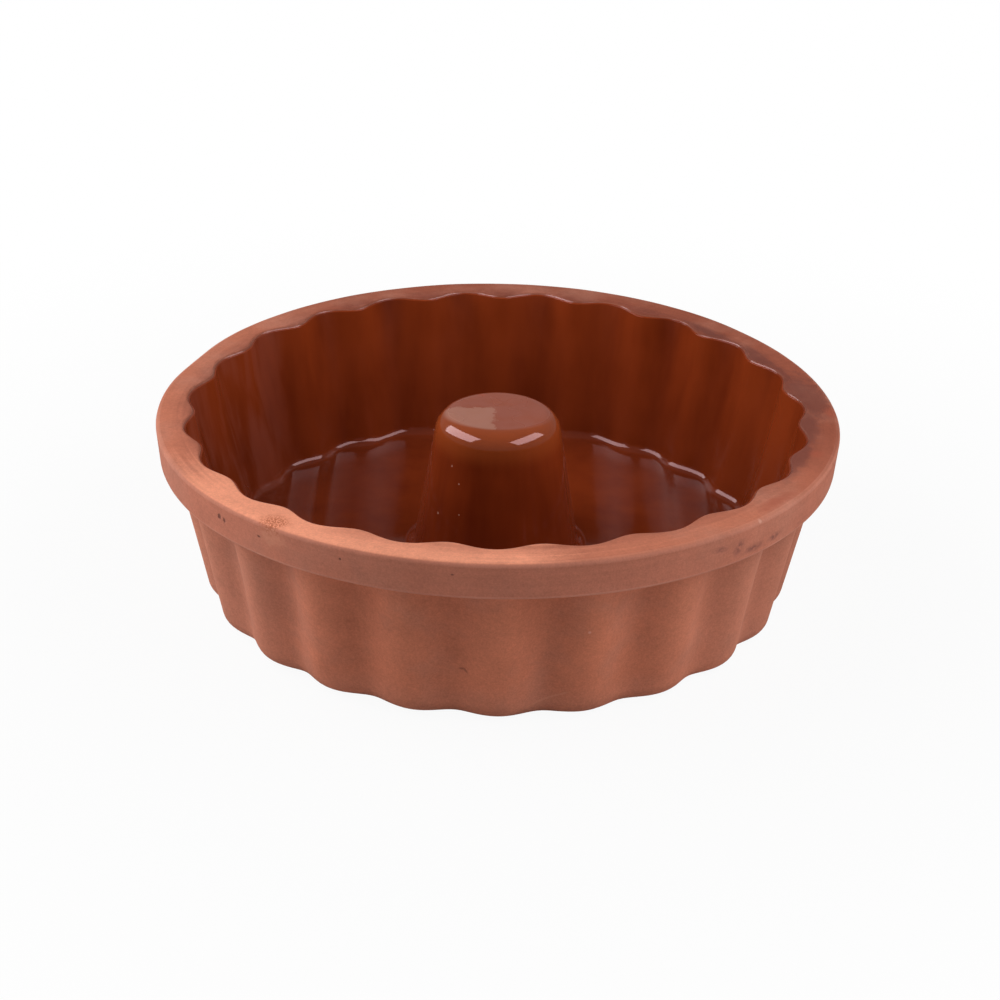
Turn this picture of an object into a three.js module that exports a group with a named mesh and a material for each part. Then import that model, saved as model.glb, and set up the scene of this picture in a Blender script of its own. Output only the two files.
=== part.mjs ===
// A fluted ring-cake dish of fired clay, glazed inside, with a closed cone in the middle.
// Millimetres, +Z up. The origin is the middle of the foot, on the surface that the dish stands on.
import * as THREE from 'three';

const { cos, sin, atan, floor, min, sqrt, PI } = Math;
const { lerp, degToRad } = THREE.MathUtils;

// Overall
const height = 73.5; // foot to rim top
const rimDiameter = 260; // outside the rim band, at its top
const seam = 0.3; // slip joint between two clay pieces, and between clay and glaze

// Rim band
const bandHeight = 14.5;
const bandTaper = 1.2; // the band's foot is this much smaller in radius than its top
const bandOverhang = 5.6; // from the lobes out to the band's foot
const bandEdge = 1.2; // rounding of the band's two outer edges
const lipEdge = 1.5; // rounding of the rim's inner edge

// Fluted wall
const footDiameter = 221.6; // across the lobes, where the line of the wall meets the ground
const rimWall = 7.2; // thickness, measured level, at the rim's top
const footWall = 8.4; // the same, at the ground
const heelRadius = 9;
const fluteCount = 23;
const stepsPerFlute = 6;
const outerFluteDepth = 3.5; // crest to valley
const innerFluteDepth = 3;
const outerValley = 0.2; // 0 is a sharp groove between two lobes, 1 is a soft wave
const innerValley = 0.8;

// Floor
const floorThickness = 13.8;
const floorFillet = 3; // between floor and wall
const footLedge = 3; // flat of the wall's foot beside the floor slab

// Cone
const coneHeight = 69.3; // ground to the top of the clay
const coneFootDiameter = 63; // where the line of the cone meets the floor
const coneTopDiameter = 44.4; // where it meets the level of the top
const coneWall = 6;
const coneShoulder = 6.5; // rounding of the top
const coneFillet = 5; // between cone and floor
const coneLedge = 2; // flat of the cone's flange beside the floor slab
const hollowEdge = 3; // rounding at the top of the hollow under the cone
const roundSteps = 64;

// Glaze
const glazeThickness = 0.6;
const glazeDrop = 1.7; // bare clay between the rim's top and the glaze

// The line of a wall gives the radius at a height, over the lobes, and the lean from upright.
function wallLine(radiusAt, slope) {
  return { radiusAt, lean: atan(slope) };
}

function offset({ radiusAt, lean }, distance) {
  return { radiusAt: (z) => radiusAt(z) + distance, lean };
}

const bandFoot = height - bandHeight;
const bandSlope = bandTaper / bandHeight;
const bandFace = wallLine((z) => rimDiameter / 2 - bandSlope * (height - z), bandSlope);

const lobeTop = bandFace.radiusAt(bandFoot) - bandOverhang;
const wallSlope = (lobeTop - footDiameter / 2) / bandFoot;
const outside = wallLine((z) => footDiameter / 2 + wallSlope * z, wallSlope);
const insideSlope = wallSlope + (footWall - rimWall) / height;
const inside = wallLine((z) => footDiameter / 2 - footWall + insideSlope * z, insideSlope);

const coneSlope = (coneTopDiameter - coneFootDiameter) / 2 / (coneHeight - floorThickness);
const cone = wallLine((z) => coneFootDiameter / 2 + coneSlope * (z - floorThickness), coneSlope);
const hollow = offset(cone, -coneWall);

// How a surface is fluted: how far its radius falls in a valley, and how soft the valley is
const outerFlute = { depth: outerFluteDepth, valley: outerValley };
const innerFlute = { depth: innerFluteDepth, valley: innerValley };
const round = { depth: 0, valley: 1 };

// A profile is a list of points, run with the clay on its left.
function point(r, z, flute = round) {
  return { r, z, flute };
}

// The arc that rounds the corner of a level and a wall line, run from the level to the line.
// Its centre is above the level or below it, and beyond the line or on the axis side of it.
function corner(line, level, radius, { above = false, beyond = false, steps, flute = round }) {
  const side = beyond ? -1 : 1;
  const centreZ = level + (above ? radius : -radius);
  const tangentZ = centreZ - side * radius * sin(line.lean);
  const centreR = line.radiusAt(tangentZ) - side * radius * cos(line.lean);
  const lowest = beyond ? 270 : -90;
  const start = degToRad(above ? lowest : 90);
  const end = (beyond ? PI : 0) - line.lean;
  return Array.from({ length: steps + 1 }, (_, step) => {
    const angle = lerp(start, end, step / steps);
    return point(centreR + radius * cos(angle), centreZ + radius * sin(angle), flute);
  });
}

// 1 on a lobe's crest and 0 in a valley, where two round lobes meet
function lobe(angle, valley) {
  const crest = cos((fluteCount * angle) / 2);
  const rounded = sqrt(crest * crest + valley * valley) - valley;
  return rounded / (sqrt(1 + valley * valley) - valley);
}

// Turns a profile about Z, with a crest at the front, and draws in its valleys.
function revolve(profile, steps) {
  const outline = profile.map(({ r, z }) => new THREE.Vector2(r, z));
  const geometry = new THREE.LatheGeometry(outline, steps).rotateX(PI / 2);
  const position = geometry.getAttribute('position');
  for (let i = 0; i < position.count; i++) {
    const { r, flute } = profile[i % profile.length];
    const angle = (floor(i / profile.length) / steps) * 2 * PI;
    const radius = r - flute.depth * (1 - lobe(angle, flute.valley));
    position.setXY(i, radius * sin(angle), -radius * cos(angle));
  }
  geometry.computeVertexNormals();
  return geometry;
}

function closed(profile) {
  return [...profile, profile[0]];
}

const flutedSteps = fluteCount * stepsPerFlute;

// Corners that more than one piece follows
const heel = corner(outside, 0, heelRadius, { above: true, steps: 3, flute: outerFlute });
const floorCorner = { above: true, steps: 2, flute: innerFlute };
const floorRound = corner(inside, floorThickness, floorFillet, floorCorner);
const coneCorner = { above: true, beyond: true, steps: 2 };
const coneRound = corner(cone, floorThickness, coneFillet, coneCorner);
const shoulderCorner = { steps: 3 };

const slabRadius = min(floorRound[0].r - innerFluteDepth, heel[0].r - outerFluteDepth) - footLedge;
const flangeRadius = coneRound[0].r + coneLedge;

// Wall: from the foot round the heel, up the lobes, over the top and down the inside to the floor
function flutedWall() {
  const top = bandFoot - seam;
  const footRadius = slabRadius + seam;
  return closed([
    point(footRadius, 0),
    ...heel,
    point(outside.radiusAt(top), top, outerFlute),
    point(inside.radiusAt(top), top, innerFlute),
    ...floorRound.toReversed(),
    point(footRadius, floorThickness),
  ]);
}

// Band: plain and round outside, following the flutes inside
function rimBand() {
  const edge = { steps: 2 };
  return closed([
    point(inside.radiusAt(bandFoot), bandFoot, innerFlute),
    ...corner(bandFace, bandFoot, bandEdge, { ...edge, above: true }),
    ...corner(bandFace, height, bandEdge, edge).toReversed(),
    ...corner(inside, height, lipEdge, { ...edge, beyond: true, flute: innerFlute }),
  ]);
}

// Floor slab: a flat ring between the cone's flange and the wall's foot
function baseDisc() {
  const holeRadius = flangeRadius + seam;
  return closed([
    point(holeRadius, 0),
    point(slabRadius, 0),
    point(slabRadius, floorThickness),
    point(holeRadius, floorThickness),
  ]);
}

// Cone: hollow from below, with a flange as thick as the floor
function centreCone() {
  const hollowTop = coneHeight - coneWall;
  return [
    point(0, hollowTop),
    ...corner(hollow, hollowTop, hollowEdge, { steps: 2 }),
    point(hollow.radiusAt(0), 0),
    point(flangeRadius, 0),
    point(flangeRadius, floorThickness),
    ...coneRound,
    ...corner(cone, coneHeight, coneShoulder, shoulderCorner).toReversed(),
    point(0, coneHeight),
  ];
}

// One side of the glaze, from the cone's top over the floor to the rim, at a distance from the clay
function glazeSide(distance) {
  const top = coneHeight + distance;
  const floorLevel = floorThickness + distance;
  const wall = offset(inside, -distance);
  const rimEnd = height - glazeDrop;
  return [
    point(0, top),
    ...corner(offset(cone, distance), top, coneShoulder + distance, shoulderCorner),
    ...corner(offset(cone, distance), floorLevel, coneFillet - distance, coneCorner).toReversed(),
    ...corner(wall, floorLevel, floorFillet - distance, floorCorner),
    point(wall.radiusAt(rimEnd), rimEnd, innerFlute),
  ];
}

function interiorGlaze() {
  return [...glazeSide(seam), ...glazeSide(seam + glazeThickness).toReversed()];
}

const terracotta = new THREE.MeshStandardMaterial({ color: 0xb4684c, roughness: 0.9, metalness: 0 });
const brownGlaze = new THREE.MeshStandardMaterial({ color: 0x70280e, roughness: 0.12, metalness: 0 });

function piece(name, profile, steps, material) {
  const mesh = new THREE.Mesh(revolve(profile, steps), material);
  mesh.name = name;
  return mesh;
}

const dish = new THREE.Group();
dish.add(
  piece('fluted_wall', flutedWall(), flutedSteps, terracotta),
  piece('rim_band', rimBand(), flutedSteps, terracotta),
  piece('base_disc', baseDisc(), roundSteps, terracotta),
  piece('centre_cone', centreCone(), roundSteps, terracotta),
  piece('interior_glaze', interiorGlaze(), flutedSteps, brownGlaze),
);

export default dish;
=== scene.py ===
from math import atan, atan2, cos, degrees, hypot, pi, radians, sin

import bpy
from mathutils import Matrix, Vector


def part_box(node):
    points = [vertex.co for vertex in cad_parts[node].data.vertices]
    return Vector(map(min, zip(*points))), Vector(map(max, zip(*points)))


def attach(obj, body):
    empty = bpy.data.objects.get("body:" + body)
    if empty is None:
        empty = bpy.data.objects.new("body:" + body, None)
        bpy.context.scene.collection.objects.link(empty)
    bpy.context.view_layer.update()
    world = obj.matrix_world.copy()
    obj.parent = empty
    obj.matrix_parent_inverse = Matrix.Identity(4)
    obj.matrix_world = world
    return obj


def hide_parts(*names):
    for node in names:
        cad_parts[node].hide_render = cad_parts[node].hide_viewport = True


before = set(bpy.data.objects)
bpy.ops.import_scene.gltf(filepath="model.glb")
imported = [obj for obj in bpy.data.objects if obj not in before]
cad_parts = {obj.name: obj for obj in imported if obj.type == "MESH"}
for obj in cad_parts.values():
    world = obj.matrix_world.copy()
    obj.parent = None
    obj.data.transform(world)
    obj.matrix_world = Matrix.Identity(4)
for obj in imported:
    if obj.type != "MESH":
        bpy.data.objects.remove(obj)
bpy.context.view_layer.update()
mm = 0.001  # the dictionaries below are in mm and degrees, unless a note says otherwise
print("frame loaded with", ", ".join(sorted(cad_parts)))

scene = bpy.context.scene
scene.view_settings.view_transform = "Standard"

# what the solids already fix is read from the frame
wallBox, bandBox, slabBox, coneBox = (
    [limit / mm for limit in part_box(node)]
    for node in ("fluted_wall", "rim_band", "base_disc", "centre_cone")
)
rimTop = bandBox[1].z
bandFoot = bandBox[0].z
floorLevel = slabBox[1].z
coneTop = coneBox[1].z


# small helpers for both kinds of node tree
def feed(tree, socket, value):
    if isinstance(value, bpy.types.NodeSocket):
        tree.links.new(value, socket)
    else:
        socket.default_value = value


def addNode(tree, kind, values=(), **settings):
    node = tree.nodes.new(kind)
    for name, setting in settings.items():
        setattr(node, name, setting)
    pairs = values.items() if isinstance(values, dict) else enumerate(values)
    for key, value in pairs:
        feed(tree, node.inputs[key], value)
    return node


def calc(tree, operation, *values):
    return addNode(tree, "ShaderNodeMath", values, operation=operation).outputs[0]


def product(tree, first, *others):
    for other in others:
        first = calc(tree, "MULTIPLY", first, other)
    return first


def vectorCalc(tree, operation, *values):
    node = addNode(tree, "ShaderNodeVectorMath", values, operation=operation)
    scalar = operation in ("LENGTH", "DOT_PRODUCT")
    return node.outputs["Value" if scalar else "Vector"]


def scaled(tree, vector, factor):
    values = {"Vector": vector, "Scale": factor}
    return addNode(tree, "ShaderNodeVectorMath", values, operation="SCALE").outputs[0]


def axes(tree, vector):
    return addNode(tree, "ShaderNodeSeparateXYZ", [vector]).outputs


def joined(tree, *parts):
    return addNode(tree, "ShaderNodeCombineXYZ", parts).outputs[0]


def noise(tree, vector, scale, detail=2.0, rough=0.5, w=None):
    values = {"Vector": vector, "Scale": scale, "Detail": detail, "Roughness": rough}
    if w is not None:
        values["W"] = w
    dimensions = "3D" if w is None else "4D"
    return addNode(tree, "ShaderNodeTexNoise", values, noise_dimensions=dimensions).outputs[0]


def swing(tree, pattern, amount, onto=0.0):
    # a pattern from 0 to 1, swung about its middle by an amount
    return calc(tree, "MULTIPLY_ADD", calc(tree, "SUBTRACT", pattern, 0.5), amount, onto)


def ease(tree, value, start, end, low=0.0, high=1.0):
    # smooth step from low at start to high at end
    values = {"Value": value, "From Min": start, "From Max": end, "To Min": low, "To Max": high}
    node = addNode(tree, "ShaderNodeMapRange", values, interpolation_type="SMOOTHSTEP")
    return node.outputs[0]


def easeLength(tree, length, start, end, low=0.0, high=1.0):
    return ease(tree, length, start * mm, end * mm, low, high)


# one tree turns every profile about Z and draws in the flutes; whole numbers become integer inputs
turning = {
    "Flute Count": 23,
    "Lobe Drift": 0.03,  # radians, how far the hand-cut flutes stray from even spacing
    "Lobe Shift": -0.017,  # radians, the outer flutes against the inner ones
    "Lobe Gather": 0.055,  # the same, halfway round to each side
    "Back Depth": 0.5,  # how much deeper the inner flutes are at the back of the rim
    "Inner Shift": 0.001,  # metres, the inside sits a little off the middle
    "Inner Heading": 135.0,  # degrees from +X
    "Depth Drift": 0.3,  # share of a flute's depth
    "Out Of Round": 0.002,  # share of the radius
    "Dent Heading": 161.0,  # degrees from +X, where the rim is a little flat
    "Dent Width": 8.0,  # degrees
    "Dent Depth": 0.011,  # share of the radius
    "Hand Wobble": 0.0005,  # metres, slow unevenness of the pressed clay
    "Saddle Drop": 0.0017,  # metres, how far the rim has sunk at the left and the right
    "Seed": 4,
}
# scale of each slow noise, and how far its seed is from the tree's own
slowNoise = {
    "spacing": (2.4, 0.0),
    "depth": (5.0, 3.0),
    "round": (0.9, 6.0),
    "wobble": (24.0, 20.0),
}
wobbleFrom = 20.0  # the wobble up and down is full from this height on
fullValley = 3.0  # depth at which the finishes take a valley as full
backFrom = (0.0, 0.9)  # how far back the deeper flutes start, and are full; the radius is 1
mergeWithin = 0.001  # points closer than this become one
stepsPerFlute = 16
fluteSteps = turning["Flute Count"] * stepsPerFlute  # steps of the turn, for fluted pieces
roundSteps = 144  # the same, for round ones
pointNotes = ("fluteDepth", "valleySoft", "fluteSide", "edgeWearAndHighlight")


def addTurnSockets(face):
    face.new_socket("Profile", in_out="INPUT", socket_type="NodeSocketGeometry")
    for name, value in {"Turn Steps": 1, **turning}.items():
        kind = "NodeSocketInt" if isinstance(value, int) else "NodeSocketFloat"
        face.new_socket(name, in_out="INPUT", socket_type=kind)
    face.new_socket("Finish", in_out="INPUT", socket_type="NodeSocketMaterial")
    face.new_socket("Turned", in_out="OUTPUT", socket_type="NodeSocketGeometry")


def addLobe(tree, angle, count, soft):
    # 1 on a crest and 0 in a valley, where two round lobes meet
    crest = calc(tree, "COSINE", calc(tree, "DIVIDE", product(tree, angle, count), 2.0))
    softSquare = product(tree, soft, soft)
    rounded = calc(tree, "SQRT", calc(tree, "MULTIPLY_ADD", crest, crest, softSquare))
    top = calc(tree, "SUBTRACT", calc(tree, "SQRT", calc(tree, "ADD", softSquare, 1.0)), soft)
    return calc(tree, "DIVIDE", calc(tree, "SUBTRACT", rounded, soft), top)


def addWobble(tree, mesh, given):
    # the same slow wobble for all pieces, so that they stay in contact; the foot stays flat
    spot = addNode(tree, "GeometryNodeInputPosition").outputs[0]
    scale, seedShift = slowNoise["wobble"]
    seed = calc(tree, "ADD", given["Seed"], seedShift)
    values = {"Vector": spot, "W": seed, "Scale": scale, "Detail": 2.0}
    wave = addNode(tree, "ShaderNodeTexNoise", values, noise_dimensions="4D").outputs["Color"]
    wave = vectorCalc(tree, "SUBTRACT", wave, (0.5, 0.5, 0.5))
    lift = easeLength(tree, axes(tree, spot)["Z"], 0.0, wobbleFrom)
    wave = vectorCalc(tree, "MULTIPLY", wave, joined(tree, 1.0, 1.0, lift))
    offset = scaled(tree, wave, given["Hand Wobble"])
    return addNode(tree, "GeometryNodeSetPosition", {"Geometry": mesh, "Offset": offset}).outputs[0]


def buildTurnTree():
    tree = bpy.data.node_groups.new("turnFlutedProfile", "GeometryNodeTree")
    addTurnSockets(tree.interface)
    given = addNode(tree, "NodeGroupInput").outputs
    profile = given["Profile"]

    # a grid with one row for each point of the profile and one column for each step of the turn
    count = addNode(tree, "GeometryNodeAttributeDomainSize", [profile]).outputs["Point Count"]
    columns = calc(tree, "ADD", given["Turn Steps"], 1)
    grid = addNode(tree, "GeometryNodeMeshGrid", {"Vertices X": columns, "Vertices Y": count})
    index = addNode(tree, "GeometryNodeInputIndex").outputs[0]
    column, row = (
        addNode(tree, "FunctionNodeIntegerMath", [index, count], operation=operation).outputs[0]
        for operation in ("DIVIDE_FLOOR", "MODULO")
    )
    angle = product(tree, calc(tree, "DIVIDE", column, given["Turn Steps"]), 2 * pi)

    def sampled(value, kind):
        values = {"Geometry": profile, "Value": value, "Index": row}
        node = addNode(tree, "GeometryNodeSampleIndex", values, data_type=kind, domain="POINT")
        return node.outputs[0]

    def noted(name):
        node = addNode(tree, "GeometryNodeInputNamedAttribute", {"Name": name}, data_type="FLOAT")
        return sampled(node.outputs["Attribute"], "FLOAT")

    place = sampled(addNode(tree, "GeometryNodeInputPosition").outputs[0], "FLOAT_VECTOR")
    place = axes(tree, place)
    depth, soft, side, wearAndHighlight = (noted(name) for name in pointNotes)
    outer = calc(tree, "MAXIMUM", side, 0.0)
    inner = calc(tree, "MAXIMUM", product(tree, side, -1.0), 0.0)

    # outward direction, with angle 0 at the front
    sine = calc(tree, "SINE", angle)
    back = product(tree, calc(tree, "COSINE", angle), -1.0)
    outward = joined(tree, sine, back, 0.0)

    def around(name, amount, onto=0.0):
        scale, seedShift = slowNoise[name]
        seed = calc(tree, "ADD", given["Seed"], seedShift)
        return swing(tree, noise(tree, outward, scale, detail=1.0, w=seed), amount, onto)

    def pointing(heading):
        turn = calc(tree, "RADIANS", heading)
        aim = joined(tree, calc(tree, "COSINE", turn), calc(tree, "SINE", turn), 0.0)
        return vectorCalc(tree, "DOT_PRODUCT", outward, aim)

    # flutes, with the spacing and the depth drifting round the dish
    sideways = product(tree, sine, back)
    lead = calc(tree, "MULTIPLY_ADD", sideways, given["Lobe Gather"], given["Lobe Shift"])
    drift = calc(tree, "MULTIPLY_ADD", lead, outer, around("spacing", given["Lobe Drift"]))
    lobe = addLobe(tree, calc(tree, "ADD", angle, drift), given["Flute Count"], soft)
    atBack = ease(tree, back, *backFrom)
    atRim = easeLength(tree, place["Z"], bandFoot / 2, rimTop)
    deeper = product(tree, inner, given["Back Depth"], atBack, atRim)
    uneven = calc(tree, "ADD", around("depth", given["Depth Drift"], 1.0), deeper)
    dip = product(tree, depth, uneven, calc(tree, "SUBTRACT", 1.0, lobe))
    radius = calc(tree, "SUBTRACT", place["X"], dip)

    # the inside is off the middle, and the whole is out of round and has a flat place
    aside = product(tree, inner, given["Inner Shift"], pointing(given["Inner Heading"]))
    radius = calc(tree, "ADD", radius, aside)
    squeeze = around("round", given["Out Of Round"], 1.0)
    squeeze = calc(tree, "SUBTRACT", squeeze, calc(tree, "DIVIDE", given["Out Of Round"], 2.0))
    away = calc(tree, "ARCCOSINE", pointing(given["Dent Heading"]))
    away = calc(tree, "DIVIDE", away, calc(tree, "RADIANS", given["Dent Width"]))
    dented = calc(tree, "EXPONENT", product(tree, away, away, -1.0))
    squeeze = calc(tree, "SUBTRACT", squeeze, product(tree, dented, given["Dent Depth"]))
    radius = product(tree, radius, squeeze)

    # the clay has warped in drying: the rim is highest at the front and the back
    upShare = calc(tree, "DIVIDE", place["Z"], rimTop * mm)
    outShare = calc(tree, "DIVIDE", radius, bandBox[1].x * mm)
    sunk = product(tree, sine, sine, given["Saddle Drop"], upShare, outShare)
    level = joined(tree, 0.0, 0.0, calc(tree, "SUBTRACT", place["Z"], sunk))
    turned = vectorCalc(tree, "ADD", scaled(tree, outward, radius), level)

    # notes that the finishes read
    mesh = grid.outputs["Mesh"]
    valley = calc(tree, "DIVIDE", dip, fullValley * mm)
    for name, value in (("valley", valley), ("edgeWearAndHighlight", wearAndHighlight)):
        values = {"Geometry": mesh, "Name": name, "Value": value}
        kinds = {"data_type": "FLOAT", "domain": "POINT"}
        mesh = addNode(tree, "GeometryNodeStoreNamedAttribute", values, **kinds).outputs[0]

    # the turn's two ends and the poles close where their points meet
    values = {"Geometry": mesh, "Position": turned}
    mesh = addNode(tree, "GeometryNodeSetPosition", values).outputs[0]
    values = {"Geometry": mesh, "Distance": mergeWithin * mm}
    mesh = addNode(tree, "GeometryNodeMergeByDistance", values).outputs[0]
    mesh = addWobble(tree, mesh, given)
    mesh = addNode(tree, "GeometryNodeSetShadeSmooth", [mesh]).outputs[0]
    mesh = addNode(tree, "GeometryNodeRealizeInstances", [mesh]).outputs[0]
    values = {"Geometry": mesh, "Material": given["Finish"]}
    mesh = addNode(tree, "GeometryNodeSetMaterial", values).outputs[0]
    tree.links.new(mesh, addNode(tree, "NodeGroupOutput").inputs["Turned"])
    return tree


turnTree = buildTurnTree()
creaseAngle = 40.0  # sharper edges than this stay sharp


def turnPiece(name, profile, steps, finish, node):
    # profile points are (radius, height, flute depth, softness, side, edge wear and painted
    # highlight), clay on the left
    mesh = bpy.data.meshes.new(name)
    edges = [(i, i + 1) for i in range(len(profile) - 1)]
    mesh.from_pydata([(p[0] * mm, 0, p[1] * mm) for p in profile], edges, [])
    notes = zip(*((depth * mm, *others) for _, _, depth, *others in profile))
    for note, values in zip(pointNotes, notes):
        mesh.attributes.new(note, "FLOAT", "POINT").data.foreach_set("value", values)
    piece = bpy.data.objects.new(name, mesh)
    scene.collection.objects.link(piece)

    modifier = piece.modifiers.new("turn", "NODES")
    modifier.node_group = turnTree
    given = {**turning, "Turn Steps": steps, "Finish": finish}
    for item in turnTree.interface.items_tree:
        if item.in_out == "INPUT" and item.name in given:
            modifier[item.identifier] = given[item.name]

    shaped = piece.evaluated_get(bpy.context.evaluated_depsgraph_get())
    turned = bpy.data.meshes.new_from_object(shaped)
    piece.modifiers.clear()
    piece.data = turned
    turned.name = name
    turned.set_sharp_from_angle(angle=radians(creaseAngle))
    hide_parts(node)
    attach(piece, "root")
    print(name, "turned with", len(turned.polygons), "faces")


# profile drawing, where a line is (radius at the ground, slope)
def radiusAt(line, z):
    return line[0] + line[1] * z


def offsetLine(line, distance):
    return (line[0] + distance, line[1])


plain = {"depth": 0, "soft": 1, "side": 0, "shares": ((0, 1),)}


def fluteAt(flute, z):
    # depth, softness and side; the depth goes straight from one given share of it to the next
    steps = flute["shares"]
    share = steps[-1][1]
    for (z0, share0), (z1, share1) in zip(steps, steps[1:]):
        if z < z1:
            share = share0 + (share1 - share0) * max(z - z0, 0) / (z1 - z0)
            break
    return flute["depth"] * share, flute["soft"], flute["side"]


def tagged(points, flute=plain, wearAndHighlight=0.0):
    return [(r, z, *fluteAt(flute, z), wearAndHighlight) for r, z in points]


def spaced(count):
    # shares of a stretch, closer together near its ends
    return [(1 - cos(pi * i / (count + 1))) / 2 for i in range(1, count + 1)]


def along(a, b, share):
    return (a[0] + (b[0] - a[0]) * share, a[1] + (b[1] - a[1]) * share)


def between(a, b, count):
    return [along(a, b, share) for share in spaced(count)]


def growing(a, b, count, flute, wearAndHighlight=0.0):
    # points from a plain stretch to a fluted one
    depth, soft, side = fluteAt(flute, b[1])
    return [
        (*along(a, b, share), depth * share, soft, side * share, wearAndHighlight)
        for share in spaced(count)
    ]


def corner(line, level, size, above=False, beyond=False):
    # centre and end angles of the arc that rounds the corner of a level and a leaning line
    lean = atan(line[1])
    side = -1 if beyond else 1
    centreZ = level + (size if above else -size)
    centreR = radiusAt(line, centreZ - side * size * sin(lean)) - side * size * cos(lean)
    start = radians((270 if beyond else -90) if above else 90)
    end = (pi if beyond else 0) - lean
    return centreR, centreZ, start, end


def onArc(centreR, centreZ, size, angle):
    return (centreR + size * cos(angle), centreZ + size * sin(angle))


def cornerArc(line, level, size, steps=8, **place):
    # from the level to the line
    centreR, centreZ, start, end = corner(line, level, size, **place)
    angles = [start + (end - start) * i / steps for i in range(steps + 1)]
    return [onArc(centreR, centreZ, size, angle) for angle in angles]


def closed(profile):
    return profile + profile[:1]


overlap = 0.15  # how far slab, wall and cone reach past the solids' seams, so that none shows

wall = {
    "footRadius": 111.3,  # where the line of the lobes meets the ground
    "rimThick": 7.2,
    "footThick": 8.9,
    "heel": 9.0,
    # side is 1 outside and -1 inside; shares are heights, and the share of the depth there
    "outerFlute": {"depth": 6.0, "soft": 0.72, "side": 1, "shares": ((0, 0.53), (40, 1.0))},
    "innerFlute": {
        "depth": 3.7,
        "soft": 0.8,
        "side": -1,
        "shares": ((14, 0.84), (27, 0.6), (58, 0.62), (72, 1.0)),
    },
    "floorFillet": 3.0,
    "intoBand": 0.5,
    "footSteps": 4,
    "heelSteps": 12,
    "outerSteps": 30,
    "innerSteps": 8,
    "filletSteps": 4,
    "floorSteps": 2,
}
wallSlope = (-wallBox[0].y - wall["footRadius"]) / wallBox[1].z
thinning = (wall["footThick"] - wall["rimThick"]) / rimTop
outside = (wall["footRadius"], wallSlope)
inside = (wall["footRadius"] - wall["footThick"], wallSlope + thinning)
slabRadius = slabBox[1].x + overlap


def wallProfile():
    outer, inner = wall["outerFlute"], wall["innerFlute"]
    hollow = {"above": True, "steps": wall["filletSteps"]}
    heel = cornerArc(outside, 0, wall["heel"], above=True, steps=wall["heelSteps"])
    floorRound = cornerArc(inside, floorLevel, wall["floorFillet"], **hollow)
    top = bandFoot + wall["intoBand"]
    outerTop = (radiusAt(outside, top), top)
    innerTop = (radiusAt(inside, top), top)
    foot, floorEdge = (slabRadius, 0), (slabRadius, floorLevel)
    return closed(
        tagged([foot])
        + growing(foot, heel[0], wall["footSteps"], outer)
        + tagged(heel + between(heel[-1], outerTop, wall["outerSteps"]) + [outerTop], outer)
        + tagged([innerTop] + between(innerTop, floorRound[-1], wall["innerSteps"]), inner)
        + tagged(floorRound[::-1], inner)
        + growing(floorEdge, floorRound[0], wall["floorSteps"], inner)[::-1]
        + tagged([floorEdge])
    )


band = {
    "taper": 1.2,
    "topEdge": 1.5,
    "footEdge": 1.3,
    "lipEdge": 1.8,
    "inset": 0.15,  # keeps the wobble inside the solids' box
    "drop": 0.25,  # the same, at the top
    "topWear": 0.6,  # share of the edge that is rubbed pale
    # the lower rounded edge is painted pale as a highlight from the light off the floor
    "footHighlight": 1.0,
    "underSteps": 6,
    "faceSteps": 12,
    "topSteps": 10,
    "innerSteps": 5,
}
bandTop = rimTop - band["drop"]


def bandProfile():
    inner = wall["innerFlute"]
    reach = bandBox[1].x - band["inset"]
    slope = band["taper"] / (rimTop - bandFoot)
    face = (reach - slope * rimTop, slope)
    lower = cornerArc(face, bandFoot, band["footEdge"], above=True)
    upper = cornerArc(face, bandTop, band["topEdge"])[::-1]
    lip = cornerArc(inside, bandTop, band["lipEdge"], beyond=True)
    inFoot = (radiusAt(inside, bandFoot), bandFoot)
    soakedLip = enumerate(tagged(lip, inner))  # wear below 0 is clay soaked with glaze
    return closed(
        tagged([inFoot], inner)
        + growing(lower[0], inFoot, band["underSteps"], inner)[::-1]
        + tagged(lower, wearAndHighlight=band["footHighlight"])
        + tagged(between(lower[-1], upper[0], band["faceSteps"]))
        + tagged(upper, wearAndHighlight=band["topWear"])
        + growing(upper[-1], lip[0], band["topSteps"], inner)
        + [(*point, -i / len(lip)) for i, (*point, _) in soakedLip]
        + tagged(between(lip[-1], inFoot, band["innerSteps"]), inner)
    )


cone = {
    "footRadius": 31.5,
    "topRadius": 22.2,
    "thick": 6.0,
    "shoulder": 6.5,
    "fillet": 5.0,
    "hollowEdge": 3.0,
    "ceilingSteps": 4,
    "hollowSteps": 12,
    "filletSteps": 4,
}
coneSlope = (cone["topRadius"] - cone["footRadius"]) / (coneTop - floorLevel)
coneSide = (cone["footRadius"] - coneSlope * floorLevel, coneSlope)
flangeRadius = coneBox[1].x + overlap


def coneProfile():
    hollow = offsetLine(coneSide, -cone["thick"])
    hollowTop = coneTop - cone["thick"]
    ceiling = cornerArc(hollow, hollowTop, cone["hollowEdge"])
    foot = (radiusAt(hollow, 0), 0)
    place = {"above": True, "beyond": True, "steps": cone["filletSteps"]}
    fillet = cornerArc(coneSide, floorLevel, cone["fillet"], **place)
    shoulder = cornerArc(coneSide, coneTop, cone["shoulder"])[::-1]
    return tagged(
        [(0, hollowTop)]
        + between((0, hollowTop), ceiling[0], cone["ceilingSteps"])
        + ceiling
        + between(ceiling[-1], foot, cone["hollowSteps"])
        + [foot, (flangeRadius, 0), (flangeRadius, floorLevel)]
        + fillet
        + shoulder
        + [(0, coneTop)]
    )


slab = {"footSteps": 16}  # its sizes follow from its neighbours


def slabProfile():
    foot = [(flangeRadius, 0), (slabRadius, 0)]
    top = [(slabRadius, floorLevel), (flangeRadius, floorLevel)]
    return closed(tagged(foot[:1] + between(*foot, slab["footSteps"]) + foot[1:] + top))


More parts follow.
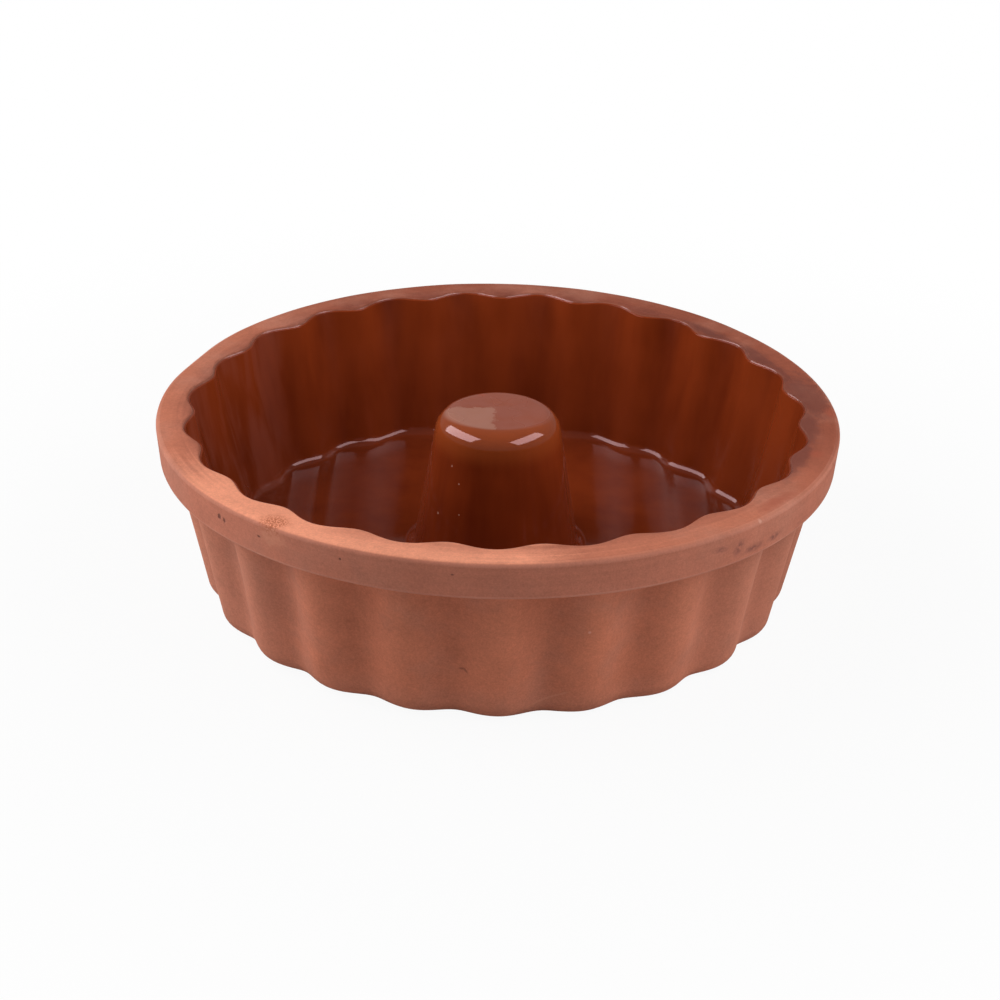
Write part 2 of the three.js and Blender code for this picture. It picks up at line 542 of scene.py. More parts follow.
glaze = {
    "thick": 0.9,
    "back": -0.15,  # the back of the coat sits just inside the clay
    "pool": 5.0,  # the coat gathers in the corner of floor and wall
    "lipThick": 0.4,  # it thins towards the rim
    "lipShare": 0.25,  # how much of the rim's inner rounding it covers
    "backSteps": 4,
    "frontSteps": 12,
    "lipSteps": 10,
}


def glazeLip(distance):
    # up the rim's inner rounding, to a rounded end that sinks into the clay
    centreR, centreZ, start, end = corner(inside, bandTop, band["lipEdge"], beyond=True)
    points = []
    for i in range(1, glaze["lipSteps"] + 1):
        share = i / glaze["lipSteps"]
        rise = (distance - glaze["back"]) * (1 - share * share) ** 0.5 + glaze["back"]
        angle = end + (start - end) * glaze["lipShare"] * share
        points.append(onArc(centreR, centreZ, band["lipEdge"] + rise, angle))
    return points


def glazeSide(distance, steps):
    # from the middle of the cone's top over the floor to the rim, at a distance from the clay
    top = coneTop + distance
    level = floorLevel + distance
    side = offsetLine(coneSide, distance)
    outer = offsetLine(inside, -distance)
    inner = wall["innerFlute"]
    hollow = {"above": True, "steps": steps}
    shoulder = cornerArc(side, top, cone["shoulder"] + distance, steps=steps)
    fillet = cornerArc(side, level, cone["fillet"] - distance, beyond=True, **hollow)[::-1]
    pool = cornerArc(outer, level, glaze["pool"] - distance, **hollow)
    lip = glazeLip(min(distance, glaze["lipThick"]))
    return (
        tagged([(0, top)] + between((0, top), shoulder[0], steps) + shoulder)
        + tagged(between(shoulder[-1], fillet[0], 2 * steps) + fillet)
        + growing(fillet[-1], pool[0], steps, inner)
        + tagged(pool, inner)
        + tagged(between(pool[-1], lip[0], 2 * steps), inner)
        + tagged(lip, inner)
    )


def glazeProfile():
    back = glazeSide(glaze["back"], glaze["backSteps"])
    front = glazeSide(glaze["thick"], glaze["frontSteps"])
    return back + front[-2::-1]


# helpers for the finishes
def newFinish(name):
    material = bpy.data.materials.new(name)
    material.use_nodes = True
    tree = material.node_tree
    shader = tree.nodes["Principled BSDF"]
    spot = addNode(tree, "ShaderNodeTexCoord").outputs["Object"]
    return material, tree, shader, spot


def blendColour(tree, factor, a, b):
    node = addNode(tree, "ShaderNodeMix", data_type="RGBA")
    feed(tree, node.inputs["Factor"], factor)
    colourA, colourB = [socket for socket in node.inputs if socket.type == "RGBA"]
    feed(tree, colourA, a if isinstance(a, bpy.types.NodeSocket) else (*a, 1))
    feed(tree, colourB, b if isinstance(b, bpy.types.NodeSocket) else (*b, 1))
    return [socket for socket in node.outputs if socket.type == "RGBA"][0]


def noteOf(tree, name):
    return addNode(tree, "ShaderNodeAttribute", attribute_name=name).outputs["Fac"]


def levelSpot(tree, spot):
    return vectorCalc(tree, "MULTIPLY", spot, (1, 1, 0))


upFacing = (0.55, 0.9)  # how far up a surface must face to count as a top


def upwards(tree):
    # 1 where the surface faces up
    normal = addNode(tree, "ShaderNodeNewGeometry").outputs["Normal"]
    return ease(tree, axes(tree, normal)["Z"], *upFacing)


def towards(tree, direction, heading, wide, narrow):
    # 1 within the narrow angle of a heading, 0 beyond the wide one
    turn = radians(heading)
    near = vectorCalc(tree, "DOT_PRODUCT", direction, (cos(turn), sin(turn), 0))
    return ease(tree, near, cos(radians(wide)), cos(radians(narrow)))


markEdge = 0.45  # share of its half size over which a mark fades, where it gives no other
farOff = 10.0  # in half sizes, out of every mark's reach
strokeDepth = 4.0  # how far a stroke reaches into the clay


def stroke(radius, start, end, width):
    # place of a thin mark between two (heading, height) ends
    run = radians(end[0] - start[0]) * radius
    rise = end[1] - start[1]
    middle = ((start[0] + end[0]) / 2, radius, (start[1] + end[1]) / 2)
    size = (hypot(run, rise) / 2 + width, strokeDepth, width)
    return middle, size, -degrees(atan2(rise, run))


def marked(tree, spot, places, fray, edge):
    # 1 inside the places, with a frayed edge
    found = farOff
    for (heading, radius, height), size, roll in places:
        turn = radians(heading)
        values = {
            "Vector": spot,
            "Location": Vector((radius * cos(turn), radius * sin(turn), height)) * mm,
            "Rotation": (0, radians(roll), turn + pi / 2),
            "Scale": Vector(size) * mm,
        }
        local = addNode(tree, "ShaderNodeMapping", values, vector_type="TEXTURE").outputs[0]
        found = calc(tree, "MINIMUM", vectorCalc(tree, "LENGTH", local), found)
    return ease(tree, calc(tree, "ADD", found, fray), 1.0 + edge, 1.0 - edge)


def layMarks(tree, spot, colour, marks, frays, limits):
    masks = {}
    for name, mark in marks.items():
        edge = mark.get("edge", markEdge)
        mask = marked(tree, spot, mark["places"], frays[mark["fray"]], edge)
        if "within" in mark:
            mask = product(tree, mask, limits[mark["within"]])
        colour = blendColour(tree, product(tree, mask, mark["share"]), colour, mark["colour"])
        masks[name] = mask
    return colour, masks


# colours are linear red, green and blue; a noise is its scale, detail and roughness
# a blend is where it starts and where it ends, with its two shares where they aren't 0 and 1
clay = {
    "wall": (0.605, 0.193, 0.107),
    "wallSide": (0.57, 0.212, 0.134),  # the lobes at the left and the right are greyer
    "sideFrom": (45, 100),  # distance from the middle to the left and the right
    "heelFrom": (18, 3, 0.0, 0.6),  # heights; the heel is partly as grey
    "band": (0.50, 0.171, 0.107),
    "bandBlend": 0.6,
    "rim": (0.485, 0.154, 0.087),
    "rubbedAndLit": (0.76, 0.288, 0.172),  # the rim's top at the front left, partly rubbed pale and partly a painted pool of light
    "rubbedAndLitAt": (-116.0, 50.0, 15.0),  # heading, and the angles from it
    "rubbedAndLitAcross": (-136.0, 30.0, 12.0),  # here the rubbing and the painted light reach right to the inner edge
    "rubbedAndLitReach": (117.5, 124.5, 0.55, 1.0),
    "rubbedAndLitUneven": 0.9,
    "rubbedAndLitBlend": (0.1, 0.95),
    "darkerAndShaded": (0.30, 0.077, 0.041),  # darker on the back right: partly the clay's own tone, partly painted shade
    "darkerAndShadedAt": (53.0, 112.0, 52.0),
    "darkerAndShadedWall": 0.27,  # how much of that shows below the rim
    "tinted": (0.19, 0.045, 0.029),  # a breath of glaze on the inner half of the rim
    "tintReach": (123.5, 115.5),
    "tintUneven": 6.0,
    "tintBack": (-110, 20, 0.25, 0.55),  # it is least at the front, where the rim is rubbed pale and painted light falls
    "ashen": (0.47, 0.192, 0.130),  # greyer blotches
    "ashenNoise": (36.0, 4.0, 0.6),
    "ashenBlend": (0.45, 0.75, 0.0, 0.5),
    # worn edges, and a painted highlight along the band's lower edge
    "wornEdgeAndHighlight": (0.66, 0.300, 0.215),
    "wearAndHighlightBlend": (0.3, 0.65, 0.1, 1.0),
    "wearAndHighlightShare": 0.38,
    "soaked": (0.15, 0.029, 0.012),  # beside the glaze
    "soakedUneven": 0.5,
    "soakedBlend": (0.15, 0.85, 0.0, 0.85),
    "coatedNoise": (34.0, 2.0),  # patches of the lip that the glaze covers
    "coatedUneven": 1.8,
    "coatedBlend": (0.4, 0.6),
    "coatedWear": (-0.1, -0.25),
    "mottleUneven": 0.5,
    "coarseNoise": (260.0, 4.0, 0.6),  # frays the edges of marks
    "coarseFray": 1.6,
    "fineFray": 2.2,
    "speckBlend": (0.45, 0.53),
    "sandyBlend": (0.3, 0.6),
    # painted shade, with a little dust, in the flute valleys
    "valleyDustAndShade": -0.05,
    "linesShade": 0.22,
    "rough": 0.9,
    "stainRough": 0.5,
    "coatedRough": 0.15,
    "shine": 0.3,
    "coatedShine": 0.7,
    "relief": {"grain": 0.3, "mottle": 0.7, "lines": 0.4, "pits": -1.5},
    "reliefStrength": 0.5,
    "reliefHeight": 0.4,
}
# noise scale, detail and roughness, and how far it swings the brightness
clayNoise = {
    "tone": (16.0, 3.0, 0.55, 0.30),
    "mottle": (90.0, 5.0, 0.6, 0.34),
    "grain": (1500.0, 3.0, 0.65, 0.46),
    "sand": (620.0, 2.0, 0.5, 0.24),
}
# turning lines round the band: how many a metre, up its face and across its top
turnLines = {"up": 520.0, "across": 420.0, "noise": (1.4, 2.0, 0.6)}
# marks, in the order they are laid on
# a place is its middle (heading, radius, height), its half sizes (along, in, up) and its roll
clayMarks = {
    "stain": {
        "colour": (0.165, 0.045, 0.031),
        "share": 0.66,
        "fray": "coarse",
        "within": "onTop",
        "places": [
            ((8, 121, 72), (19, 7, 5), 0),
            ((23, 117, 71), (19, 3.8, 5), 0),
            ((-7, 117, 71), (17, 4.2, 5), 0),
            ((-21, 117, 71), (19, 3.4, 5), 0),
            ((38, 116.5, 71), (22, 2.8, 5), 0),
        ],
    },
    "ruddy": {
        "colour": (0.36, 0.078, 0.040),
        "share": 0.6,
        "fray": "coarse",
        "edge": 0.7,
        "places": [
            ((-17, 122.5, 72), (3, 2.2, 3), 0),
            ((1, 127, 72), (4, 2, 3), 0),
            ((-38, 124.5, 72), (9, 2.6, 3), 0),
        ],
    },
    "dusted": {
        "colour": (0.70, 0.290, 0.180),
        "share": 0.45,
        "fray": "fine",
        "places": [((-126, 129, 68.5), (5, 4, 3.2), 0)],
    },
    "speckled": {
        "colour": (0.36, 0.085, 0.030),
        "share": 0.8,
        "fray": "coarse",
        "within": "grains",
        "places": [((-126.5, 126, 72.5), (5.2, 4.4, 4), 0)],
    },
    "smudges": {
        "colour": (0.19, 0.068, 0.056),
        "share": 0.75,
        "fray": "coarse",
        "edge": 0.8,
        "within": "sandy",
        "places": [
            ((-53.5, 129, 66.8), (3.0, 3, 0.9), 12),
            ((-49.5, 129, 65.0), (2.2, 3, 2.4), 0),
            ((-46.0, 129, 62.2), (4.6, 3, 1.2), 0),
            ((-40.8, 129, 62.4), (3.6, 3, 1.1), -6),
        ],
    },
    "nick": {
        "colour": (0.13, 0.045, 0.035),
        "share": 0.55,
        "fray": "none",
        "edge": 0.7,
        "places": [
            stroke(112.3, (-95.7, 22.0), (-95.0, 22.3), 0.4),
            stroke(112.8, (-95.0, 22.3), (-94.5, 21.2), 0.4),
        ],
    },
    "seamLine": {
        "colour": (0.70, 0.290, 0.180),
        "share": 0.3,
        "fray": "fine",
        "places": [stroke(111, (-83.0, 6.2), (-76.5, 11.9), 0.5)],
    },
    "pits": {
        "colour": (0.13, 0.045, 0.035),
        "share": 0.75,
        "fray": "fine",
        "places": [
            ((-138.0, 129, 66.7), (1.0, 3, 0.8), 0),
            ((-136.8, 129, 66.5), (0.9, 3, 0.9), 0),
            ((-128.7, 129, 66.7), (0.6, 3, 0.4), 0),
            ((-96.1, 129, 68.4), (0.5, 3, 0.3), 0),
            ((-113.5, 129, 68.0), (0.4, 3, 0.4), 0),
        ],
    },
    "flecks": {
        "colour": (0.80, 0.50, 0.40),
        "share": 0.35,
        "fray": "none",
        "places": [((-45, 129.2, 71.8), (0.7, 2, 0.6), 0), ((-73.8, 119, 39.3), (0.5, 3, 0.5), 0)],
    },
}
glossTint = (1.0, 0.68, 0.72)  # the faint tint of what the glaze mirrors


def makeTerracotta():
    material, tree, shader, spot = newFinish("terracotta")
    split = axes(tree, spot)
    flat = levelSpot(tree, spot)
    direction = vectorCalc(tree, "NORMALIZE", flat)
    reach = vectorCalc(tree, "LENGTH", flat)
    tone, mottle, grain, sand = (noise(tree, spot, *values[:3]) for values in clayNoise.values())

    # turning lines on the band, above and outside
    blend = clay["bandBlend"]
    onBand = easeLength(tree, split["Z"], bandFoot - blend, bandFoot + blend)
    onTop = product(tree, upwards(tree), onBand)
    around = axes(tree, direction)
    ring = joined(tree, around["X"], around["Y"], product(tree, split["Z"], turnLines["up"]))
    across = product(tree, reach, turnLines["across"])
    lines = swing(tree, noise(tree, ring, *turnLines["noise"], w=across), onBand)
    uneven = swing(tree, mottle, clay["mottleUneven"], lines)

    # wall, band and rim, with a darker back right that is partly the clay's tone and partly painted
    # shade, and a paler front left that is partly rubbed and partly painted light
    grey = easeLength(tree, calc(tree, "ABSOLUTE", split["X"]), *clay["sideFrom"])
    grey = calc(tree, "MAXIMUM", grey, easeLength(tree, split["Z"], *clay["heelFrom"]))
    colour = blendColour(tree, grey, clay["wall"], clay["wallSide"])
    colour = blendColour(tree, onBand, colour, clay["band"])
    colour = blendColour(tree, onTop, colour, clay["rim"])
    darkerAndShaded = towards(tree, direction, *clay["darkerAndShadedAt"])
    darkerAndShaded = product(tree, darkerAndShaded, calc(tree, "MAXIMUM", onTop, clay["darkerAndShadedWall"]))
    colour = blendColour(tree, darkerAndShaded, colour, clay["darkerAndShaded"])
    tintEdge = calc(tree, "MULTIPLY_ADD", uneven, clay["tintUneven"] * mm, reach)
    tint = product(tree, easeLength(tree, tintEdge, *clay["tintReach"]), onTop)
    tint = product(tree, tint, easeLength(tree, split["Y"], *clay["tintBack"]))
    colour = blendColour(tree, tint, colour, clay["tinted"])
    rubbedAndLit = towards(tree, direction, *clay["rubbedAndLitAt"])
    rubbedAndLit = calc(tree, "MULTIPLY_ADD", uneven, clay["rubbedAndLitUneven"], rubbedAndLit)
    rubbedAndLit = product(tree, ease(tree, rubbedAndLit, *clay["rubbedAndLitBlend"]), onTop)
    inward = easeLength(tree, reach, *clay["rubbedAndLitReach"])
    inward = calc(tree, "MAXIMUM", inward, towards(tree, direction, *clay["rubbedAndLitAcross"]))
    colour = blendColour(tree, product(tree, rubbedAndLit, inward), colour, clay["rubbedAndLit"])
    outsideRubbedAndLit = calc(tree, "SUBTRACT", 1.0, rubbedAndLit)
    ashen = ease(tree, noise(tree, spot, *clay["ashenNoise"]), *clay["ashenBlend"])
    colour = blendColour(tree, product(tree, ashen, outsideRubbedAndLit), colour, clay["ashen"])

    # slow tone, mottle, grain, sand and lines, and valleys darkened by dust and painted shade
    bright = 1.0
    for pattern, (*_, amount) in zip((tone, mottle, grain, sand), clayNoise.values()):
        bright = swing(tree, pattern, amount, bright)
    bright = calc(tree, "MULTIPLY_ADD", lines, clay["linesShade"], bright)
    bright = calc(tree, "MULTIPLY_ADD", noteOf(tree, "valley"), clay["valleyDustAndShade"], bright)
    colour = scaled(tree, colour, bright)

    # worn edges, with a painted highlight along the band's lower edge, and the lip that has soaked
    # up glaze
    edge = noteOf(tree, "edgeWearAndHighlight")
    wornAndHighlit = product(tree, calc(tree, "MAXIMUM", edge, 0.0), ease(tree, tone, *clay["wearAndHighlightBlend"]))
    wornAndHighlit = product(tree, wornAndHighlit, outsideRubbedAndLit, clay["wearAndHighlightShare"])
    colour = blendColour(tree, wornAndHighlit, colour, clay["wornEdgeAndHighlight"])
    soak = calc(tree, "MULTIPLY_ADD", uneven, clay["soakedUneven"], product(tree, edge, -1.0))
    colour = blendColour(tree, ease(tree, soak, *clay["soakedBlend"]), colour, clay["soaked"])

    frays = {
        "coarse": swing(tree, noise(tree, spot, *clay["coarseNoise"]), clay["coarseFray"]),
        "fine": swing(tree, sand, clay["fineFray"]),
        "none": 0.0,
    }
    limits = {
        "onTop": onTop,
        "grains": ease(tree, grain, *clay["speckBlend"]),
        "sandy": ease(tree, sand, *clay["sandyBlend"]),
    }
    colour, masks = layMarks(tree, spot, colour, clayMarks, frays, limits)
    feed(tree, shader.inputs["Base Color"], colour)

    # the stain keeps some of the glaze's gloss, and here and there the lip is coated
    coated = swing(tree, noise(tree, spot, *clay["coatedNoise"]), clay["coatedUneven"], soak)
    onLip = ease(tree, edge, *clay["coatedWear"])
    coated = product(tree, ease(tree, coated, *clay["coatedBlend"]), onLip)
    rough = ease(tree, masks["stain"], 0.0, 1.0, clay["rough"], clay["stainRough"])
    coatedRough = ease(tree, coated, 0.0, 1.0, clay["rough"], clay["coatedRough"])
    feed(tree, shader.inputs["Roughness"], calc(tree, "MINIMUM", rough, coatedRough))
    shine = ease(tree, coated, 0.0, 1.0, clay["shine"], clay["coatedShine"])
    feed(tree, shader.inputs["Specular IOR Level"], shine)
    feed(tree, shader.inputs["Specular Tint"], blendColour(tree, coated, (1, 1, 1), glossTint))

    height = 0.0
    reliefs = {"grain": grain, "mottle": mottle, "lines": lines, "pits": masks["pits"]}
    for name, amount in clay["relief"].items():
        height = calc(tree, "MULTIPLY_ADD", reliefs[name], amount, height)
    values = {
        "Strength": clay["reliefStrength"],
        "Distance": clay["reliefHeight"] * mm,
        "Height": height,
    }
    bump = addNode(tree, "ShaderNodeBump", values)
    feed(tree, shader.inputs["Normal"], bump.outputs[0])
    return material


coat = {
    "thin": (0.27, 0.041, 0.009),
    "thick": (0.122, 0.0150, 0.0037),
    "toneNoise": (20.0, 3.0, 0.55),
    "runScale": (90.0, 90.0, 7.0),  # noise drawn out into runs down the wall
    "runNoise": (1.0, 3.0, 0.55),
    "toneShare": 0.6,  # what makes the coat thin
    "runShare": 0.5,
    "valleyShare": 0.15,
    "thinBlend": (0.2, 0.8),
    "pooledAndShaded": (0.088, 0.0115, 0.0035),  # darker towards the floor: partly the glaze pooled thicker, partly painted shade
    "pooledAndShadedRise": 50,  # above the floor
    "pooledAndShadedShare": 0.42,
    "dried": (0.36, 0.150, 0.130),  # paler runs on the left
    "driedBlend": (0.42, 0.62),
    "driedFrom": (-80, -100),
    "driedShare": 0.13,
    "broken": (0.36, 0.074, 0.017),  # thin over the shoulder of the cone
    "brokenDepths": (13, 5),  # below the cone's top
    "brokenShare": 0.55,
    "coneReach": (40, 30),  # distances from the axis that are off the cone and on it
    "reflectedBackdrop": (0.34, 0.125, 0.101),  # painted reflection of the backdrop, over the dull film on the top of the cone
    "hazeMiddle": (0, 1.0),
    "hazeSize": (20.5, 17.5),  # half sizes
    "hazeEdge": (1.06, 0.94),
    "hazeDepths": (3, 1),
    "reflectionNoise": (120.0, 4.0, 0.6),
    "reflectionBlend": (0.3, 0.6, 0.3, 0.44),
    "reflectedPatch": (0.50, 0.262, 0.190),  # a paler painted reflection in that film
    "patchEnds": {"X": -1.0, "Y": 3.5},
    "patchBlend": 0.6,
    "patchNoise": (220.0, 4.0, 0.7),
    "patchFray": 9.0,
    "patchShare": 0.42,
    "wallReach": (80, 100),  # distances from the axis that are floor and wall
    "wallRise": (4, 12),  # above the floor
    "rough": 0.09,
    "wallRough": 0.2,
    "filmRough": 0.2,  # what the film adds
    "roughUneven": (0.3, 0.75, 0.75, 1.3),
    "floorShine": 0.48,
    "wallShine": 0.2,
    "coneShine": 0.7,
    "refraction": 1.56,
    "fleckNoise": (900.0, 2.0),  # frays the edges of flecks and chips
    "fleckFray": 1.5,
    "peelNoise": (160.0, 2.0, 0.5),  # a faint orange peel
    "peelStrength": 0.15,
    "peelHeight": 0.3,
}
coatMarks = {
    "flecks": {
        "colour": (0.80, 0.50, 0.40),
        "share": 0.4,
        "fray": "fine",
        "places": [
            ((-132.2, 26, 55.7), (0.35, 3, 0.4), 0),
            ((-122.7, 27, 49.8), (0.3, 3, 0.3), 0),
            ((-140.5, 29, 35.5), (0.4, 3, 0.4), 0),
            ((-119.7, 29, 38.0), (0.3, 3, 0.3), 0),
        ],
    },
    "chips": {
        "colour": (0.36, 0.078, 0.040),
        "share": 0.8,
        "fray": "fine",
        "places": [((112.7, 17, 70), (1.6, 1.2, 2), 0)],
    },
}


def coneFilmAndReflection(tree, spot, split):
    # the dull film on the cone's top, which carries a painted reflection, and the paler painted
    # reflection in it with its frayed ends
    offset = vectorCalc(tree, "SUBTRACT", spot, Vector((*coat["hazeMiddle"], 0)) * mm)
    offset = vectorCalc(tree, "DIVIDE", offset, Vector((*coat["hazeSize"], 1)) * mm)
    filmAndReflection = ease(tree, vectorCalc(tree, "LENGTH", levelSpot(tree, offset)), *coat["hazeEdge"])
    depths = (coneTop - depth for depth in coat["hazeDepths"])
    filmAndReflection = product(tree, filmAndReflection, easeLength(tree, split["Z"], *depths))
    fray = swing(tree, noise(tree, spot, *coat["patchNoise"]), coat["patchFray"] * mm)
    reflectedPatch = filmAndReflection
    for axis, end in coat["patchEnds"].items():
        frayed = calc(tree, "ADD", split[axis], fray)
        ends = (end + coat["patchBlend"], end - coat["patchBlend"])
        reflectedPatch = product(tree, reflectedPatch, easeLength(tree, frayed, *ends))
    return filmAndReflection, reflectedPatch


def makeBrownGlaze():
    material, tree, shader, spot = newFinish("brownGlaze")
    split = axes(tree, spot)
    reach = vectorCalc(tree, "LENGTH", levelSpot(tree, spot))
    tone = noise(tree, spot, *coat["toneNoise"])
    drawnOut = addNode(tree, "ShaderNodeMapping", {"Vector": spot, "Scale": coat["runScale"]})
    runs = noise(tree, drawnOut.outputs[0], *coat["runNoise"])

    # thick and thin, darker below where the glaze pools and painted shade falls, with dried runs
    mix = product(tree, runs, coat["runShare"])
    mix = calc(tree, "MULTIPLY_ADD", tone, coat["toneShare"], mix)
    mix = calc(tree, "MULTIPLY_ADD", noteOf(tree, "valley"), coat["valleyShare"], mix)
    mix = ease(tree, mix, *coat["thinBlend"])
    colour = blendColour(tree, mix, coat["thick"], coat["thin"])
    low = easeLength(tree, split["Z"], floorLevel + coat["pooledAndShadedRise"], floorLevel)
    colour = blendColour(tree, product(tree, low, coat["pooledAndShadedShare"]), colour, coat["pooledAndShaded"])
    atLeft = easeLength(tree, split["X"], *coat["driedFrom"])
    dried = product(tree, ease(tree, runs, *coat["driedBlend"]), atLeft, coat["driedShare"])
    colour = blendColour(tree, dried, colour, coat["dried"])

    # the cone's shoulder, and the painted reflection on its top
    depths = (coneTop - depth for depth in coat["brokenDepths"])
    onCone = easeLength(tree, reach, *coat["coneReach"])
    onCone = product(tree, onCone, easeLength(tree, split["Z"], *depths))
    colour = blendColour(tree, product(tree, onCone, coat["brokenShare"]), colour, coat["broken"])
    filmAndReflection, reflectedPatch = coneFilmAndReflection(tree, spot, split)
    patchyReflection = ease(tree, noise(tree, spot, *coat["reflectionNoise"]), *coat["reflectionBlend"])
    colour = blendColour(tree, product(tree, filmAndReflection, patchyReflection), colour, coat["reflectedBackdrop"])
    colour = blendColour(tree, product(tree, reflectedPatch, coat["patchShare"]), colour, coat["reflectedPatch"])
    frays = {"fine": swing(tree, noise(tree, spot, *coat["fleckNoise"]), coat["fleckFray"])}
    colour, _ = layMarks(tree, spot, colour, coatMarks, frays, {})
    feed(tree, shader.inputs["Base Color"], colour)

    # the wall is duller than the floor, and the cone is the glossiest
    rises = (floorLevel + rise for rise in coat["wallRise"])
    onWall = easeLength(tree, reach, *coat["wallReach"])
    onWall = product(tree, onWall, easeLength(tree, split["Z"], *rises))
    rough = ease(tree, onWall, 0.0, 1.0, coat["rough"], coat["wallRough"])
    rough = product(tree, rough, ease(tree, tone, *coat["roughUneven"]))
    rough = calc(tree, "MULTIPLY_ADD", filmAndReflection, coat["filmRough"], rough)
    feed(tree, shader.inputs["Roughness"], rough)
    shine = ease(tree, onWall, 0.0, 1.0, coat["floorShine"], coat["wallShine"])
    shine = calc(tree, "MAXIMUM", shine, ease(tree, onCone, 0.0, 1.0, 0.0, coat["coneShine"]))
    feed(tree, shader.inputs["Specular IOR Level"], shine)
    shader.inputs["IOR"].default_value = coat["refraction"]
    shader.inputs["Specular Tint"].default_value = (*glossTint, 1)
    peel = noise(tree, spot, *coat["peelNoise"])
    values = {
        "Strength": coat["peelStrength"],
        "Distance": coat["peelHeight"] * mm,
        "Height": peel,
    }
    bump = addNode(tree, "ShaderNodeBump", values)
    feed(tree, shader.inputs["Normal"], bump.outputs[0])
    return material


terracotta = makeTerracotta()
brownGlaze = makeBrownGlaze()
print("finishes ready")

clayPieces = {
    "fluted_wall": (wallProfile(), fluteSteps),
    "rim_band": (bandProfile(), fluteSteps),
    "base_disc": (slabProfile(), roundSteps),
    "centre_cone": (coneProfile(), roundSteps),
}
for node, (profile, steps) in clayPieces.items():
    turnPiece(node + "_clay", profile, steps, terracotta, node)
turnPiece(
    "interior_glaze_coat",
    glazeProfile(),
    fluteSteps,
    brownGlaze,
    "interior_glaze",
)

studio = {
    # heading and height are degrees from the dish, power is watts
    "lamps": {
        "leftBox": {"heading": 177, "height": 42, "roll": 22, "size": (1080, 540), "power": 7.9},
        "rightBox": {"heading": -17, "height": 47, "roll": 0, "size": (1000, 440), "power": 5.0},
        "leftCard": {"heading": 183, "height": 8, "roll": 0, "size": (1000, 360), "power": 1.9},
        "rightCard": {"heading": -15, "height": 10, "roll": 0, "size": (1000, 400), "power": 2.2},
    },
    "dull": ("leftCard", "rightCard"),  # the gloss doesn't mirror these
    "distance": 950,
    "aim": (0, 0, 40),
    "ambient": 0.11,
    "backGlow": 0.07,  # what the gloss mirrors besides, behind the dish and in front of it
    "roomGlow": 0.05,
    "glowFrom": (-0.3, 0.3),  # how far back a mirrored direction points
    "floorColour": (0.58, 0.58, 0.58),
    "floorRough": 0.9,
    "floorReach": 30000,
    "floorDrop": 0.4,  # below the foot
    "floorGlow": 0.94,  # share of plain white near the dish, where the rest shows its shadow
    "whiteFrom": (135, 450),  # from here on the floor turns all white
}


def addLamp(name, heading, height, roll, size, power):
    lamp = bpy.data.lights.new(name, "AREA")
    lamp.shape = "RECTANGLE"
    lamp.size, lamp.size_y = (side * mm for side in size)
    lamp.energy = power
    holder = bpy.data.objects.new(name, lamp)
    turn, rise = radians(heading), radians(height)
    away = Vector((cos(rise) * cos(turn), cos(rise) * sin(turn), sin(rise)))
    holder.location = (Vector(studio["aim"]) + away * studio["distance"]) * mm
    facing = (-away).to_track_quat("-Z", "Y").to_matrix() @ Matrix.Rotation(radians(roll), 3, "Z")
    holder.rotation_euler = facing.to_euler()
    holder.visible_glossy = name not in studio["dull"]
    scene.collection.objects.link(holder)


def seenPlainly(tree):
    # 1 for rays that come from the camera or through glass, and 1 for mirrored ones
    path = addNode(tree, "ShaderNodeLightPath").outputs
    plainly = calc(tree, "MAXIMUM", path["Is Camera Ray"], path["Is Transmission Ray"])
    return plainly, path["Is Glossy Ray"]


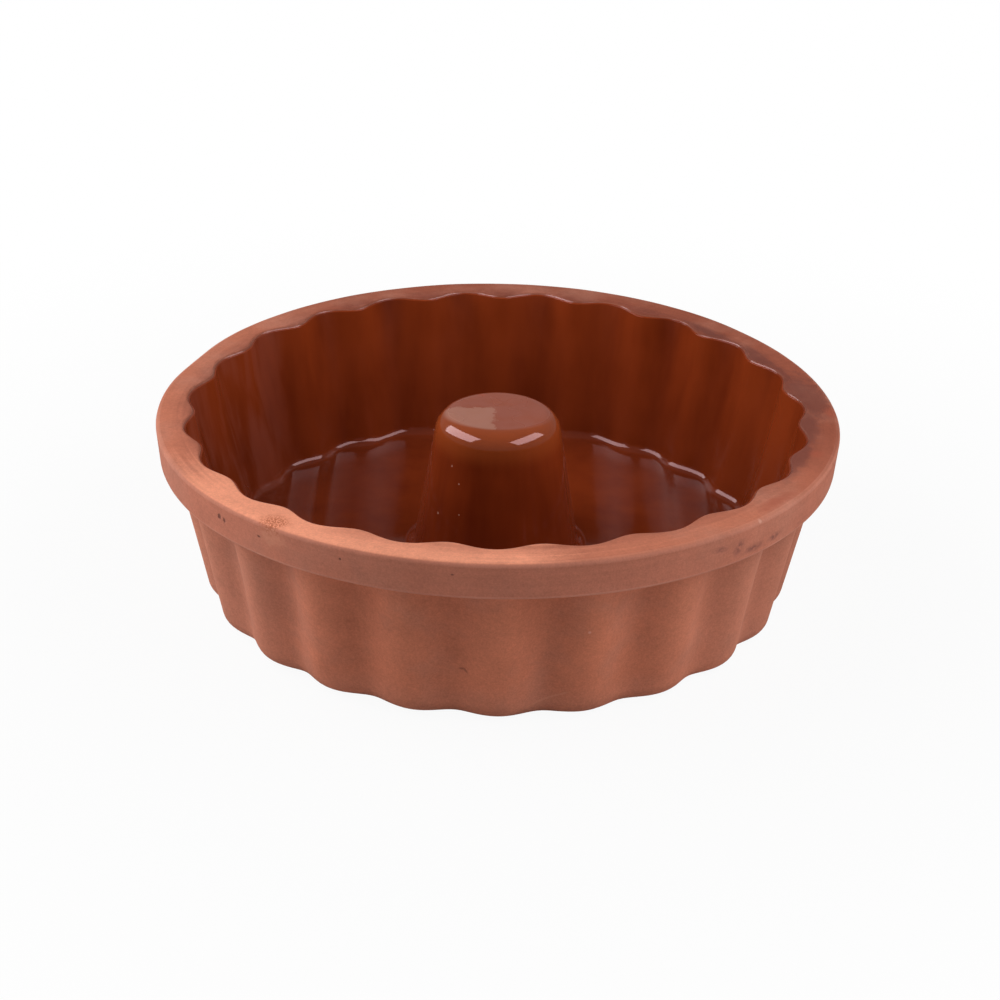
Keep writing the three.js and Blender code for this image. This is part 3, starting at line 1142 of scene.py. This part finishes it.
def addWorld():
    world = bpy.data.worlds.new("studioWorld")
    scene.world = world
    world.use_nodes = True
    tree = world.node_tree
    background = tree.nodes["Background"]
    background.inputs["Color"].default_value = (1, 1, 1, 1)
    plainly, mirrored = seenPlainly(tree)
    facing = addNode(tree, "ShaderNodeTexCoord").outputs["Generated"]
    glows = (studio["roomGlow"], studio["backGlow"])
    glow = ease(tree, axes(tree, facing)["Y"], *studio["glowFrom"], *glows)
    level = calc(tree, "MULTIPLY_ADD", mirrored, glow, studio["ambient"])
    feed(tree, background.inputs["Strength"], calc(tree, "MAXIMUM", level, plainly))


def addFloor():
    mesh = bpy.data.meshes.new("studioFloor")
    reach, z = studio["floorReach"] * mm, -studio["floorDrop"] * mm
    corners = [(-reach, -reach, z), (reach, -reach, z), (reach, reach, z), (-reach, reach, z)]
    mesh.from_pydata(corners, [], [(0, 1, 2, 3)])
    floor = bpy.data.objects.new("studioFloor", mesh)
    scene.collection.objects.link(floor)
    finish, tree, shader, spot = newFinish("paleFloor")
    shader.inputs["Base Color"].default_value = (*studio["floorColour"], 1)
    shader.inputs["Roughness"].default_value = studio["floorRough"]
    white = addNode(tree, "ShaderNodeEmission", {"Color": (1, 1, 1, 1), "Strength": 1.0})
    far = vectorCalc(tree, "LENGTH", spot)
    share = easeLength(tree, far, *studio["whiteFrom"], studio["floorGlow"], 1.0)
    share = product(tree, seenPlainly(tree)[0], share)
    lifted = addNode(tree, "ShaderNodeMixShader", [share, shader.outputs[0], white.outputs[0]])
    tree.links.new(lifted.outputs[0], tree.nodes["Material Output"].inputs["Surface"])
    mesh.materials.append(finish)


# the photo's viewpoint
eye = {
    "place": (2.75, -778.2, 419.3),
    "tilt": 63.57,
    "roll": 1.185,
    "pan": 0.105,
    "lens": 80.39,
    "sensor": 36.0,
    "clip": (10, 100000),  # nearest and farthest
}


def addCamera():
    lens = bpy.data.cameras.new("photoCamera")
    lens.sensor_width = eye["sensor"]
    lens.lens = eye["lens"]
    lens.clip_start, lens.clip_end = (limit * mm for limit in eye["clip"])
    camera = bpy.data.objects.new("photoCamera", lens)
    camera.matrix_world = (
        Matrix.Translation(Vector(eye["place"]) * mm)
        @ Matrix.Rotation(radians(eye["pan"]), 4, "Z")
        @ Matrix.Rotation(radians(eye["tilt"]), 4, "X")
        @ Matrix.Rotation(radians(eye["roll"]), 4, "Z")
    )
    scene.collection.objects.link(camera)
    scene.camera = camera


for lampName, values in studio["lamps"].items():
    addLamp(lampName, **values)
addWorld()
addFloor()
addCamera()
print("studio ready")
